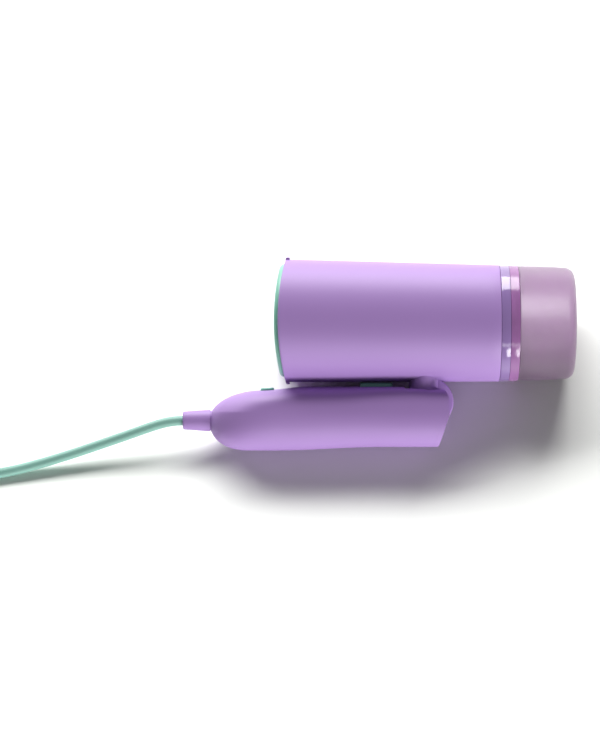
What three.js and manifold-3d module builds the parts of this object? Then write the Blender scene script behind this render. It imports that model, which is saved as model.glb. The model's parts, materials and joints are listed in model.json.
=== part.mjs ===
// Foldable hand-held garment steamer, folded and lying on its side.
// Millimetres, +Z up. The head's axis runs along X, with the water tank at +X.
// Everything but the cord is built in the steamer's own frame and then rolled about X until
// the head and the handle both touch the surface:
//   x  along the head, 0 at the rim of its mouth, towards the tank
//   y  from the folded handle up to the head
//   z  along the fold hinge

import * as THREE from 'three';
import { mergeVertices } from 'three/addons/utils/BufferGeometryUtils.js';
import Module from 'manifold-3d';

const wasm = await Module();
wasm.setup();

// ---- driving dimensions ----

const gap = 0.3;                // clearance between pieces that touch
const wall = 2.2;               // moulded casing wall

const shellLength = 126.4;      // head shell, rim to rear edge
const mouthRadius = 36.8;       // head shell outside, at the mouth
const rearRadius = 34.9;        // head shell outside, at the rear
const mouthRise = 1.1;          // head axis height at the mouth
const rearRise = -0.5;          // head axis height at the rear
const catchHeight = 1.3;        // catches for a brush, at the rim's top and bottom
const catchLength = 2.4;
const catchWidth = 12;
const faceBulge = 6;            // the front edge bows forward by this much
const faceRadius = 150;         // radius of that bow
const bezelRadius = 34;
const bezelProud = 2.4;         // bezel in front of the rim
const plateRadius = 29.2;
const plateThickness = 3;
const ventRing = 19;            // radius of the ring of steam vents
const ventRadius = 1.7;
const ventCount = 12;

const bandLength = 5.2;         // glossy trim band
const collarLength = 5.2;       // tank collar
const tankLength = 33.6;        // translucent tank behind the collar
const tankRadius = 34.3;
const tankTaper = 1;            // tank radius lost towards its end
const tankCorner = 4.5;
const tankWall = 1.9;
const spigotRadius = 5;         // tank outlet that plugs into the head
const fillerOffset = 0.516 * rearRadius;    // filler plug above the outlet
const spigotLength = 12;

const pivotX = 84.6;            // fold hinge axis
const pivotY = -47.7;
const knuckleRadius = 14.4;
const knuckleWidth = 18;
const hubRadius = 9.5;          // narrower ends of the knuckle
const hubWidth = 28.4;
const neckHalfLength = 9.5;     // oval neck between the head and the knuckle
const neckHalfWidth = 15.4;
const neckX = 82;
const pinRadius = 3;
const pinClearance = 0.1;
const foldAngle = 105;          // degrees from folded to open

const noseX = -47.3;            // cord end of the handle
const handleHalfWidth = 21;
const noseMiddle = -58.8;       // height of the handle's middle at the nose
const gripTop = -38.4;          // handle surface that faces the head
const gripBottom = -74.7;
const cutX = 90;                // slanted end, at the handle's lower edge
const cutAngle = 17.2;          // degrees that the end leans
const cheekRadius = 11.4;       // rounded upper corner of the end, about the hinge
const cheekThickness = 4.4;

const triggerX = 53;
const triggerLength = 19.5;
const triggerWidth = 15;
const triggerProud = 2.3;
const triggerTravel = 1.8;
const buttonX = -12.4;
const buttonLength = 8.2;
const buttonWidth = 9;
const buttonProud = 1.5;
const buttonTravel = 0.9;

const reliefLength = 15.6;       // strain relief outside the handle
const reliefRadius = 6.5;
const reliefTip = 5.5;
const cordRadius = 3;
const cordInset = 3;            // cord inside the strain relief

const screwRadius = 1.4;
const screwHeadRadius = 2.6;
const screwHeadHeight = 1.8;

// ---- finishes ----

function finish(color, roughness, metalness = 0) {
  return new THREE.MeshStandardMaterial({ color, roughness, metalness });
}
const lavender = finish(0xb896d8, 0.42);
const mint = finish(0x8fd6bf, 0.4);
const bandGloss = finish(0xb592da, 0.12);
const collarPink = finish(0xc583bd, 0.15);
const smoke = new THREE.MeshStandardMaterial({
  color: 0xb193b4, roughness: 0.12, transparent: true, opacity: 0.6 });
const darkPlastic = finish(0x34303c, 0.55);
const whitePlastic = finish(0xe6e4e0, 0.5);
const steel = finish(0xb8bcc2, 0.3, 1);
const castAluminium = finish(0x9b9fa6, 0.45, 1);
const brass = finish(0xb08d4a, 0.35, 1);
const rubber = finish(0x2b2b2e, 0.8);
const silicone = finish(0xd8d6d0, 0.6);
const board = finish(0x2f6b45, 0.6);
const cordMint = finish(0x8cc4b4, 0.55);

// ---- solids ----

// A closed BufferGeometry as a solid, with flat triangles dropped and its faces turned outwards.
function solid(geometry) {
  const bare = geometry.clone();
  bare.deleteAttribute('normal');
  bare.deleteAttribute('uv');
  const merged = mergeVertices(bare, 1e-4);
  const index = merged.index.array;
  const position = merged.attributes.position;
  const triangles = [];
  let volume = 0;
  const a = new THREE.Vector3();
  const b = new THREE.Vector3();
  const c = new THREE.Vector3();
  for (let i = 0; i < index.length; i += 3) {
    const [p, q, r] = [index[i], index[i + 1], index[i + 2]];
    if (p === q || q === r || r === p) continue;
    triangles.push(p, q, r);
    a.fromBufferAttribute(position, p);
    b.fromBufferAttribute(position, q);
    c.fromBufferAttribute(position, r);
    volume += a.dot(b.cross(c));
  }
  if (volume < 0) triangles.reverse();
  return new wasm.Manifold(new wasm.Mesh({
    numProp: 3,
    vertProperties: new Float32Array(position.array),
    triVerts: new Uint32Array(triangles),
  }));
}

function geometryOf(body) {
  const mesh = body.getMesh();
  const geometry = new THREE.BufferGeometry();
  geometry.setAttribute('position', new THREE.BufferAttribute(mesh.vertProperties, 3));
  geometry.setIndex(new THREE.BufferAttribute(mesh.triVerts, 1));
  geometry.computeVertexNormals();
  return geometry;
}

// Height of the head's axis at x: the shell's underside stays level while its top slopes.
function rise(x) {
  const share = Math.min(Math.max(x / shellLength, 0), 1);
  return mouthRise + (rearRise - mouthRise) * share;
}

function lean(geometry) {
  const position = geometry.attributes.position;
  for (let i = 0; i < position.count; i++) {
    position.setY(i, position.getY(i) + rise(position.getX(i)));
  }
  return geometry;
}

// A profile of [x, radius] pairs turned about the x axis.
function turnedGeometry(profile, segments) {
  const points = profile.map(([x, radius]) => new THREE.Vector2(radius, x));
  return new THREE.LatheGeometry(points, segments).rotateZ(-Math.PI / 2);
}

function turned(profile, segments = 32, x = 0, y = 0, z = 0) {
  return solid(turnedGeometry(profile, segments).translate(x, y, z));
}

// The same, following the head's axis.
function headTurned(profile, segments = 48) {
  return solid(lean(turnedGeometry(profile, segments)));
}

function box(length, height, depth, x, y, z) {
  return solid(new THREE.BoxGeometry(length, height, depth).translate(x, y, z));
}

function rodX(radius, length, x, y, z, segments = 16) {
  const rod = new THREE.CylinderGeometry(radius, radius, length, segments);
  return solid(rod.rotateZ(Math.PI / 2).translate(x, y, z));
}

function rodY(radius, length, x, y, z, segments = 16) {
  return solid(new THREE.CylinderGeometry(radius, radius, length, segments).translate(x, y, z));
}

function rodZ(radius, length, x, y, z, segments = 16) {
  const rod = new THREE.CylinderGeometry(radius, radius, length, segments);
  return solid(rod.rotateX(Math.PI / 2).translate(x, y, z));
}

// An outline in x and y, extruded along z and centred on z = 0.
function slab(shape, depth, curveSegments = 12) {
  const geometry = new THREE.ExtrudeGeometry(shape, { depth, bevelEnabled: false, curveSegments });
  return solid(geometry.translate(0, 0, -depth / 2));
}

function hose(points, radius, steps, sides = 8) {
  const curve = new THREE.CatmullRomCurve3(points.map((p) => new THREE.Vector3(...p)));
  const section = new THREE.Shape().absarc(0, 0, radius, 0, Math.PI * 2);
  return solid(new THREE.ExtrudeGeometry(section, {
    steps, curveSegments: sides / 2, extrudePath: curve }));
}

// A screw with its head's seat at the given point, pointing along -axis.
function screw(axis, x, y, z, length) {
  const profile = [[0, 0], [0, screwHeadRadius], [-screwHeadHeight, screwHeadRadius],
    [-screwHeadHeight, screwRadius], [-screwHeadHeight - length, screwRadius],
    [-screwHeadHeight - length, 0]];
  const geometry = turnedGeometry(profile, 12).translate(screwHeadHeight, 0, 0);
  if (axis === 'y') geometry.rotateZ(Math.PI / 2);
  if (axis === '-z') geometry.rotateY(Math.PI / 2);
  return solid(geometry.translate(x, y, z));
}

// ---- head ----

// Everything behind the bowed front surface, which lies `back` behind the bezel's face.
function behindFace(back) {
  const reach = mouthRadius + 6;
  const front = -faceBulge + back;
  const shape = new THREE.Shape();
  const spread = Math.asin(reach / faceRadius);
  shape.absarc(front + faceRadius, rise(0), faceRadius, Math.PI - spread, Math.PI + spread);
  shape.lineTo(shellLength + 80, rise(0) - reach);
  shape.lineTo(shellLength + 80, rise(0) + reach);
  shape.closePath();
  return slab(shape, 2 * reach, 16);
}

function shellRadius(x) {
  return mouthRadius + (rearRadius - mouthRadius) * (x / shellLength);
}

// The head's outside, grown by `extra`, as a solid to cut neighbours with.
function headEnvelope(extra) {
  const start = -faceBulge - 4;
  return headTurned([[start, 0], [start, mouthRadius + extra], [0, mouthRadius + extra],
    [shellLength, rearRadius + extra], [shellLength, 0]]);
}

const neckScrewSpots = [-1, 1].flatMap((side) => [-1, 1].map((end) => [
  neckX + end * neckHalfLength * 0.5, side * neckHalfWidth * 0.42]));

function headShell() {
  const start = -faceBulge - 2;
  const shell = headTurned([
    [start, mouthRadius - wall], [start, mouthRadius], [0, mouthRadius],
    [shellLength / 2, shellRadius(shellLength / 2)], [shellLength, rearRadius],
    [shellLength, rearRadius - wall], [shellLength / 2, shellRadius(shellLength / 2) - wall],
    [0, mouthRadius - wall], [start, mouthRadius - wall]]);
  const catches = headTurned([
    [start, mouthRadius - 0.5], [start, mouthRadius + catchHeight],
    [6, mouthRadius + catchHeight], [6, mouthRadius - 0.5], [start, mouthRadius - 0.5]])
    .subtract(behindFace(catchLength))
    .intersect(box(40, 3 * mouthRadius, catchWidth, 0, 0, 0));
  let body = shell.add(catches).intersect(behindFace(0));
  for (const [x, z] of neckScrewSpots) {
    body = body.subtract(rodY(screwRadius + gap, 20, x, -mouthRadius, z, 12));
  }
  return body;
}

function frontBezel() {
  const ring = headTurned([
    [-12, plateRadius + gap], [-12, bezelRadius], [9, bezelRadius], [9, plateRadius + gap],
    [-12, plateRadius + gap]]);
  return ring.intersect(behindFace(-bezelProud));
}

function steamPlate() {
  const blank = headTurned([[-12, 0], [-12, plateRadius], [6, plateRadius], [6, 0]]);
  const face = bezelProud - 0.6;
  let plate = blank.intersect(behindFace(-face));
  plate = plate.subtract(behindFace(-face + plateThickness));
  for (let i = 0; i < ventCount; i++) {
    const turn = (i / ventCount) * Math.PI * 2;
    const y = rise(0) + ventRing * Math.cos(turn);
    plate = plate.subtract(rodX(ventRadius, 30, 0, y, ventRing * Math.sin(turn), 8));
  }
  return plate;
}

// The space behind the plate steps back in flat-faced parts from here.
const gasketX = -faceBulge - bezelProud + 0.6 + plateThickness + 2.9;
const chamberX = gasketX + 2 + gap;
const chamberDepth = 18;
const chamberRadius = 28;
const inletDrop = 12;           // water inlet below the chamber's middle
const elementRing = 20;

function plateGasket() {
  return headTurned([[gasketX, plateRadius - 3], [gasketX, plateRadius - 0.6],
    [gasketX + 2, plateRadius - 0.6], [gasketX + 2, plateRadius - 3],
    [gasketX, plateRadius - 3]], 32);
}

function steamChamber() {
  const rear = chamberX + chamberDepth;
  return headTurned([[rear, 0], [rear, chamberRadius], [chamberX, chamberRadius],
    [chamberX, chamberRadius - 4], [rear - 6, chamberRadius - 4], [rear - 6, 0]], 32)
    .subtract(rodX(2.6, 30, rear, rise(0) - inletDrop, 0, 12));
}

function heatingElement() {
  const x = chamberX + chamberDepth + gap + 3;
  const ring = headTurned(Array.from({ length: 9 }, (_, i) => {
    const turn = (i / 8) * Math.PI * 2;
    return [x + 3 * Math.cos(turn), elementRing + 3 * Math.sin(turn)];
  }), 28);
  const pins = rodX(1.2, 12, x + 7, rise(0) + elementRing, 4, 8)
    .add(rodX(1.2, 12, x + 7, rise(0) + elementRing, -4, 8));
  return ring.add(pins);
}

const chamberRear = chamberX + chamberDepth + gap;

function thermostat() {
  return rodX(8, 7, chamberRear + 3.5, rise(0), 0, 20)
    .add(box(4, 5, 22, chamberRear + 5, rise(0), 0));
}

function thermalFuse() {
  return rodZ(2.2, 14, chamberRear + 2.3, rise(0) - 25.8, 0, 12);
}

const bulkheadX = 40;

function heaterBulkhead() {
  const radius = shellRadius(bulkheadX) - wall - gap - 0.2;
  const disc = headTurned([[bulkheadX, 0], [bulkheadX, radius], [bulkheadX + 3, radius],
    [bulkheadX + 3, 0]]);
  return disc.subtract(rodX(5, 20, bulkheadX, 21, 0, 16))
    .subtract(rodX(3.4, 20, bulkheadX, pumpY, 0, 12));
}

const pumpX = 66;
const pumpY = 8;
const portReach = 21;           // pump's middle to the end of each port

function pump() {
  const body = rodX(11.5, 30, pumpX, pumpY, 0, 24);
  const yoke = box(20, 27, 27, pumpX, pumpY, 0);
  const ports = rodX(2.4, 2 * portReach, pumpX, pumpY, 0, 12);
  return body.add(yoke).add(ports);
}

function pumpMount() {
  const top = pumpY - 13.5 - gap;
  const plate = box(34, 3, 30, pumpX, top - 1.5, 0);
  const feet = [-14, 6].map((x) => box(5, 24, 20, pumpX + x, top - 14, 0));
  return plate.add(feet[0]).add(feet[1]).intersect(headEnvelope(-wall - gap - 2.5));
}

const socketX = shellLength - 9;

function tankSocket() {
  const radius = rearRadius - wall - gap - 0.2;
  const flange = headTurned([[socketX, 0], [socketX, radius], [shellLength - 1, radius],
    [shellLength - 1, radius - 2.4], [socketX + 3, radius - 2.4], [socketX + 3, 0]]);
  const sleeve = rodX(spigotRadius + 4, 14, socketX - 2, rearRise, 0, 24);
  const bore = rodX(spigotRadius + gap, 14, socketX - 0.5, rearRise, 0, 24);
  const groove = rodX(spigotRadius + 2.2, 3, socketX - 1.5, rearRise, 0, 24);
  const inlet = rodX(2, 20, socketX - 10, rearRise, 0, 10);
  return flange.add(sleeve).add(rodX(3.2, 8, socketX - 12, rearRise, 0, 12))
    .subtract(bore).subtract(groove).subtract(inlet);
}

function socketSeal() {
  const x = socketX - 1.5;
  return turned([[x - 1.1, spigotRadius + gap + 0.1], [x - 1.1, spigotRadius + 1.9],
    [x + 1.1, spigotRadius + 1.9], [x + 1.1, spigotRadius + gap + 0.1],
    [x - 1.1, spigotRadius + gap + 0.1]], 24, 0, rearRise, 0);
}

const bandX = shellLength + gap;
const collarX = bandX + bandLength + gap;
const tankX = collarX + collarLength + gap;
const tankEnd = tankX + tankLength;

function trimBand() {
  const inner = rearRadius - wall;
  const tongue = inner - gap;
  return headTurned([[bandX, rearRadius], [bandX + bandLength, rearRadius],
    [bandX + bandLength, inner - 2], [bandX - 0.2, inner - 2], [bandX - 0.2, tongue],
    [bandX, tongue], [bandX, rearRadius]]);
}

// ---- tank ----

const capDepth = 3;             // wall that closes the tank's mouth

function tankShell() {
  const end = tankRadius - tankTaper;
  const outer = [[tankX, tankRadius]];
  for (let i = 0; i <= 4; i++) {
    const turn = (i / 4) * (Math.PI / 2);
    outer.push([tankEnd - tankCorner + tankCorner * Math.sin(turn),
      end - tankCorner + tankCorner * Math.cos(turn)]);
  }
  outer.push([tankEnd, 0]);
  const innerEnd = tankEnd - tankWall;
  const inner = [[innerEnd, 0], [innerEnd, end - tankCorner],
    [tankEnd - tankCorner, end - tankWall], [tankX, tankRadius - tankWall]];
  return headTurned([...outer, ...inner, [tankX, tankRadius]]);
}

const capRadius = tankRadius - tankWall - gap - 0.2;

function tankCollar() {
  const ring = headTurned([[collarX, 0], [collarX, tankRadius + 0.4],
    [collarX + collarLength, tankRadius + 0.4], [collarX + collarLength, capRadius],
    [collarX + collarLength + 4, capRadius], [collarX + collarLength + 4, capRadius - 2],
    [collarX + capDepth, capRadius - 2], [collarX + capDepth, 0]]);
  const spigot = rodX(spigotRadius, spigotLength, collarX - spigotLength / 2 + 0.5,
    rearRise, 0, 24);
  const duct = rodX(2.6, 40, collarX, rearRise, 0, 12);
  const filler = rodX(6, 20, collarX, rearRise + fillerOffset, 0, 20);
  return ring.add(spigot).subtract(duct).subtract(filler);
}

function tankGasket() {
  const x = collarX + collarLength + 1.4;
  return headTurned([[x, capRadius - 4.6], [x, capRadius - 2.3], [x + 2, capRadius - 2.3],
    [x + 2, capRadius - 4.6], [x, capRadius - 4.6]], 24);
}

function fillerPlug() {
  return turned([[-1.2, 0], [-1.2, 8], [-gap, 8], [-gap, 5.7], [capDepth + 2, 5.7],
    [capDepth + 2, 0]], 20, collarX, rearRise + fillerOffset, 0);
}

function tankValve() {
  return turned([[-spigotLength + 2.5, 0], [-spigotLength + 2.5, 2.2], [-2, 2.2], [-2, 1.5],
    [capDepth, 1.5], [capDepth, 0]], 12, collarX, rearRise, 0);
}

function suctionTube() {
  const start = collarX + capDepth + gap + 0.3;
  return hose([[start, rearRise, 0], [start + 8, rearRise - 2, 0],
    [start + 15, rearRise - 13, 0], [start + 18, rearRise - 25, 0]], 2, 8);
}

// ---- hoses in the head ----

function inletHose() {
  const start = pumpX + portReach + gap;
  const end = socketX - 16 - gap;
  return hose([[start, pumpY, 0], [start + 3, pumpY - 0.3, 0], [end - 3, rearRise + 0.3, 0],
    [end, rearRise, 0]], 2.2, 8);
}

function outletHose() {
  const inletY = rise(0) - inletDrop;
  return hose([[pumpX - portReach - gap, pumpY, 0], [bulkheadX, pumpY, 0],
    [bulkheadX - 7, 3, 0], [bulkheadX - 9, -5, 0], [chamberRear + 7, inletY, 0],
    [chamberRear + 0.2, inletY, 0]], 2.2, 14);
}

// ---- hinge ----

const knuckleHoleRadius = pinRadius + pinClearance;
const washerRadius = 7;

function hingeNeck() {
  const oval = new THREE.Shape().absellipse(neckX, 0, neckHalfLength, neckHalfWidth,
    0, Math.PI * 2);
  const column = new THREE.ExtrudeGeometry(oval, {
    depth: -pivotY, bevelEnabled: false, curveSegments: 16 });
  const neck = solid(column.rotateX(Math.PI / 2));
  const tail = box(12, 24, 18, pivotX + 1.2, pivotY + 12, 0);
  let body = neck.add(tail).subtract(headEnvelope(gap));
  body = body.add(rodZ(knuckleRadius, knuckleWidth, pivotX, pivotY, 0, 40)
    .add(rodZ(hubRadius, hubWidth, pivotX, pivotY, 0, 32)).subtract(headEnvelope(gap)));
  body = body.subtract(rodZ(knuckleHoleRadius, 60, pivotX, pivotY, 0, 32));
  for (const side of [-1, 1]) {
    const z = side * (hubWidth / 2 + 5);
    body = body.subtract(rodZ(washerRadius + 1, 10, pivotX, pivotY, z, 24));
  }
  for (const [x, z] of neckScrewSpots) {
    body = body.subtract(rodY(screwRadius + 0.1, 20, x, -mouthRadius + 2, z, 12));
  }
  return body;
}

function neckScrews() {
  return neckScrewSpots.map(([x, z]) => {
    const seat = rise(x) - Math.sqrt((shellRadius(x) - wall) ** 2 - z * z) + 1.1;
    return screw('y', x, seat, z, 9);
  });
}

const slotHalf = neckHalfWidth + 0.6;

function hingePin() {
  return rodZ(pinRadius, 2 * (slotHalf + 2.6), pivotX, pivotY, 0, 32);
}

function hingeWasher(side) {
  const inner = hubWidth / 2 + gap;
  const outer = slotHalf - gap;
  const middle = (inner + outer) / 2;
  return rodZ(washerRadius, outer - inner, pivotX, pivotY, side * middle, 24)
    .subtract(rodZ(pinRadius + gap, 20, pivotX, pivotY, side * middle, 20));
}

// ---- handle ----

function ease(x, from, to) {
  const t = Math.min(Math.max((x - from) / (to - from), 0), 1);
  return t * t * (3 - 2 * t);
}

// Share of the full size at x, on a nose that starts at noseX and is full at `shoulder`.
function nose(x, shoulder, power) {
  const t = Math.min(Math.max((shoulder - x) / (shoulder - noseX), 0), 1);
  return Math.pow(Math.max(1 - Math.pow(t, power), 0), 1 / power);
}

const shoulderTop = -15.6;
const shoulderBottom = -24;
const noseDrop = 2.3;           // the top is this much lower at the shoulder
const heelDrop = 2.1;           // the bottom is this much lower near the nose

function handleTop(x) {
  const shoulderHeight = gripTop - noseDrop - noseMiddle;
  const front = noseMiddle + shoulderHeight * nose(x, shoulderTop, 2);
  return front + noseDrop * ease(x, shoulderTop, 13) - 0.9 * ease(x, 67, 92);
}

function handleBottom(x) {
  const heelHeight = noseMiddle - gripBottom + heelDrop;
  const front = noseMiddle - heelHeight * nose(x, shoulderBottom, 2.2);
  return front + heelDrop * ease(x, -7, 55);
}

function handleWidth(x) {
  return handleHalfWidth * nose(x, -5, 2.2);
}

const ridgeY = -52.5;           // height at which the grip is widest

// Height at which the handle is widest at x.
function ridge(x) {
  const halfway = (handleTop(x) + handleBottom(x)) / 2;
  return halfway + (ridgeY - halfway) * ease(x, noseX + 4, 0);
}

// Squareness of the section: the upper half squares up towards the hinge to form its cheeks.
function squareness(x, upper) {
  if (upper) return 2.4 + 0.5 * ease(x, -30, 20) + 1.7 * ease(x, 20, 80);
  return 2.2 + 0.2 * ease(x, 20, 80);
}

// The handle's outer form, shrunk by `inset`, from x = from to x = to.
function handleForm(inset, from, to, segments, stations) {
  const profile = [[from, 0]];
  for (let i = 0; i <= stations; i++) {
    const share = i / stations;
    profile.push([from + (to - from) * Math.pow(share, 1.6), 1]);
  }
  profile.push([to, 0]);
  const geometry = turnedGeometry(profile, segments);
  const position = geometry.attributes.position;
  for (let i = 0; i < position.count; i++) {
    const x = position.getX(i);
    const y = position.getY(i);
    const z = position.getZ(i);
    const radius = Math.hypot(y, z);
    const at = Math.max(x, noseX + 0.6);
    const c = radius > 1e-6 ? y / radius : 0;
    const middle = ridge(at);
    const edge = c > 0 ? handleTop(at) : handleBottom(at);
    const half = Math.max(Math.abs(edge - middle) - inset, 1);
    const wide = Math.max(handleWidth(at) - inset, 1);
    const power = 2 / squareness(at, c > 0);
    const s = radius > 1e-6 ? z / radius : 0;
    position.setY(i, middle + radius * half * Math.sign(c) * Math.pow(Math.abs(c), power));
    position.setZ(i, radius * wide * Math.sign(s) * Math.pow(Math.abs(s), power));
  }
  return solid(geometry);
}

// Slanted end of the handle, rounded about the hinge above it.
function handleEnd() {
  const lean = THREE.MathUtils.degToRad(cutAngle);
  const up = -handleBottom(cutX) + pivotY - cheekRadius * 0.6;
  const shape = new THREE.Shape();
  shape.moveTo(noseX - 20, gripBottom - 20);
  shape.lineTo(cutX - 20 * Math.tan(lean), gripBottom - 20);
  shape.lineTo(cutX + up * Math.tan(lean), gripBottom + up);
  shape.absarc(pivotX, pivotY, cheekRadius, -0.2, 0.85);
  shape.lineTo(pivotX + cheekRadius * 0.5, gripTop + 20);
  shape.lineTo(noseX - 20, gripTop + 20);
  shape.closePath();
  return slab(shape, 100);
}

// The room that the knuckle and neck need as the handle opens.
function hingeSlot() {
  const radius = knuckleRadius + 0.7;
  const low = THREE.MathUtils.degToRad(-foldAngle);
  const along = THREE.MathUtils.degToRad(90 - foldAngle);
  const reach = 60;
  const shape = new THREE.Shape();
  shape.moveTo(pivotX - radius, pivotY + 40);
  shape.lineTo(pivotX - radius, pivotY);
  shape.absarc(pivotX, pivotY, radius, Math.PI, Math.PI * 2 + low, false);
  shape.lineTo(pivotX + radius * Math.cos(low) + reach * Math.cos(along),
    pivotY + radius * Math.sin(low) + reach * Math.sin(along));
  shape.lineTo(pivotX + reach, pivotY + 40);
  shape.closePath();
  return slab(shape, 2 * slotHalf, 10);
}

// The head as it stands in the handle's frame when the steamer is open.
function openHead() {
  const turn = -THREE.MathUtils.degToRad(foldAngle);
  const place = new THREE.Matrix4().makeTranslation(pivotX, pivotY, 0)
    .multiply(new THREE.Matrix4().makeRotationZ(turn))
    .multiply(new THREE.Matrix4().makeTranslation(-pivotX, -pivotY, 0));
  return solid(geometryOf(headEnvelope(0.8)).applyMatrix4(place));
}

const bossSpots = [[-27, -66], [20, -70], [62, -68.5]];
const bossRadius = 3.6;
const screwSeat = -12;          // z of the screw heads' seats

function handleCasing() {
  const end = cutX + 30;
  const cavityEnd = pivotX - knuckleRadius - 0.7 - wall;
  let body = handleForm(0, noseX, end, 36, 16).intersect(handleEnd());
  body = body.subtract(handleForm(wall, noseX + 4, cavityEnd, 24, 8));
  for (const [x, y] of bossSpots) {
    const boss = rodZ(bossRadius, 2 * handleHalfWidth, x, y, 0, 16);
    body = body.add(boss.intersect(handleForm(wall / 2, noseX, end, 24, 8)));
  }
  body = body.subtract(hingeSlot()).subtract(openHead());
  body = body.subtract(rodZ(pinRadius + gap, 2 * (slotHalf + 3), pivotX, pivotY, 0, 32));
  const reliefHole = turned([[-60, 0], [-60, reliefRadius - 0.4], [-40, reliefRadius - 0.4],
    [-40, 0]], 24, 0, noseMiddle, 0);
  body = body.subtract(reliefHole);
  body = body.subtract(box(triggerLength + 2 * gap + 0.2, 16, triggerWidth + 2 * gap + 0.2,
    triggerX, gripTop, 0));
  body = body.subtract(box(buttonLength + 2 * gap, 16, buttonWidth + 2 * gap,
    buttonX, handleTop(buttonX), 0));
  for (const [x, y] of bossSpots) {
    body = body.subtract(rodZ(screwRadius + 0.15, 17, x, y, screwSeat + 8.5, 12));
    body = body.subtract(rodZ(screwHeadRadius + gap, 30, x, y, screwSeat - 15, 16));
  }
  return body;
}

const casing = handleCasing();
const halfSpace = 200;

function handleHalf(side) {
  const keep = box(400, 400, halfSpace, 0, 0, side * (halfSpace / 2 + gap / 2));
  const parts = casing.intersect(keep).decompose();
  parts.sort((a, b) => b.volume() - a.volume());
  return parts[0];
}

function handleScrews() {
  return bossSpots.map(([x, y]) => screw('-z', x, y, screwSeat - 0.1, 15));
}

function strainRelief() {
  const shank = reliefRadius - 0.7;
  const outer = noseX - 0.4;
  const tip = outer - reliefLength;
  return turned([[tip, cordRadius + 0.4], [tip, reliefTip - 0.7], [tip + 0.9, reliefTip],
    [outer, reliefRadius], [outer, shank], [noseX + 6, shank], [noseX + 6, shank + 1.6],
    [noseX + 9, shank + 1.6], [noseX + 9, 0], [tip + cordInset + 0.4, 0],
    [tip + cordInset + 0.4, cordRadius + 0.4], [tip, cordRadius + 0.4]], 24, 0, noseMiddle, 0);
}

function cordClamp() {
  const x = noseX + 12.4;
  return box(5, 3, 15, x, noseMiddle + 3.4, 0)
    .add(box(5, 3, 15, x, noseMiddle - 3.4, 0))
    .add(box(3, 8, 4, x, noseMiddle, 5.5));
}

const boardY = -58;

function controlBoard() {
  return box(72, 1.6, 22, 18, boardY, 0);
}

function powerSwitch() {
  const seat = boardY + 0.8 + gap;
  const top = handleTop(buttonX) - 6.2;
  return box(7, top - seat - 1.5, 7, buttonX, (top - 1.5 + seat) / 2, 0)
    .add(rodY(1.8, 3, buttonX, top - 1.5, 0, 12));
}

function triggerSwitch() {
  const seat = boardY + 0.8 + gap;
  const top = gripTop - 7.4;
  return box(16, top - seat - 1.5, 7, triggerX - 8, (top - 1.5 + seat) / 2, 0)
    .add(box(3, 3, 4, triggerX - 6, top - 1.5, 0));
}

function triggerKey() {
  const profile = new THREE.Shape();
  const half = triggerLength / 2;
  profile.moveTo(-half, -5);
  profile.lineTo(-half, triggerProud - 0.9);
  profile.quadraticCurveTo(-half, triggerProud, -half + 1.6, triggerProud);
  profile.lineTo(half - 1.6, triggerProud);
  profile.quadraticCurveTo(half, triggerProud, half, triggerProud - 0.9);
  profile.lineTo(half, -5);
  profile.closePath();
  const key = new THREE.ExtrudeGeometry(profile, {
    depth: triggerWidth, bevelEnabled: false, curveSegments: 4 });
  const body = solid(key.translate(triggerX, gripTop, -triggerWidth / 2));
  const flange = box(triggerLength + 4, 1.6, triggerWidth + 3, triggerX, gripTop - 4.6, 0);
  return body.add(flange);
}

function powerButton() {
  const top = handleTop(buttonX);
  const cap = box(buttonLength, 6, buttonWidth, buttonX, top + buttonProud - 3, 0);
  const flange = box(buttonLength + 3, 1.4, buttonWidth + 3, buttonX, top - 4.4, 0);
  return cap.add(flange);
}

// ---- cord, in the frame of the surface ----

// Centre line from inside the strain relief down to the surface and on towards the coil.
const leadRoute = [
  [-114.3, -38.5, 19.9], [-120, -38.5, 19.8], [-126, -39.1, 19.4], [-133, -40.8, 18.3],
  [-141, -43.2, 16.8], [-150.4, -46.1, 14.6], [-160, -48.9, 12.5], [-170, -51.9, 10.5],
  [-180, -54.9, 8.7], [-190, -57.8, 7.2], [-200, -60.5, 5.7], [-210, -63.1, 4.7],
  [-220, -65.4, 3.8], [-230, -67.3, 3.3], [-238, -68.5, 3.1], [-246, -69.8, 3.1]];

// Centre line from the coil's top turn to the plug.
const tailRoute = [[-315.8, -11, 13.2], [-315.8, -4, 11.4], [-315.8, 4, 9.6], [-315.8, 12, 8.6]];

const coilX = -276.8;
const coilY = -35.1;
const coilInner = 23.6;
const coilOuter = 42.4;
const coilLow = 1.3;
const coilHigh = 19.9;
const tieWidth = 8;
const tieThickness = 0.9;
const tieAngle = 60;            // degrees around the coil
const tieSlack = 0.7;           // room for the coil's curve inside the tie

const plugX = tailRoute[0][0];
const plugStart = 12 + 2 * gap;    // where the cord enters the plug
const plugMiddle = 8.4;         // height of its pins
const plugThickness = 16;
const plugReliefLength = 20;
const plugLength = 30;
const plugWidth = 34;
const pinSpacing = 19;
const plugPinRadius = 2;
const plugPinLength = 19;

function cordTube(route, steps) {
  return hose(route, cordRadius, steps, 10);
}

function coilRing() {
  const ring = new THREE.LatheGeometry([
    new THREE.Vector2(coilInner, coilLow), new THREE.Vector2(coilOuter, coilLow),
    new THREE.Vector2(coilOuter, coilHigh), new THREE.Vector2(coilInner, coilHigh),
    new THREE.Vector2(coilInner, coilLow)], 40);
  return solid(ring.rotateX(Math.PI / 2).translate(coilX, coilY, 0));
}

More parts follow.
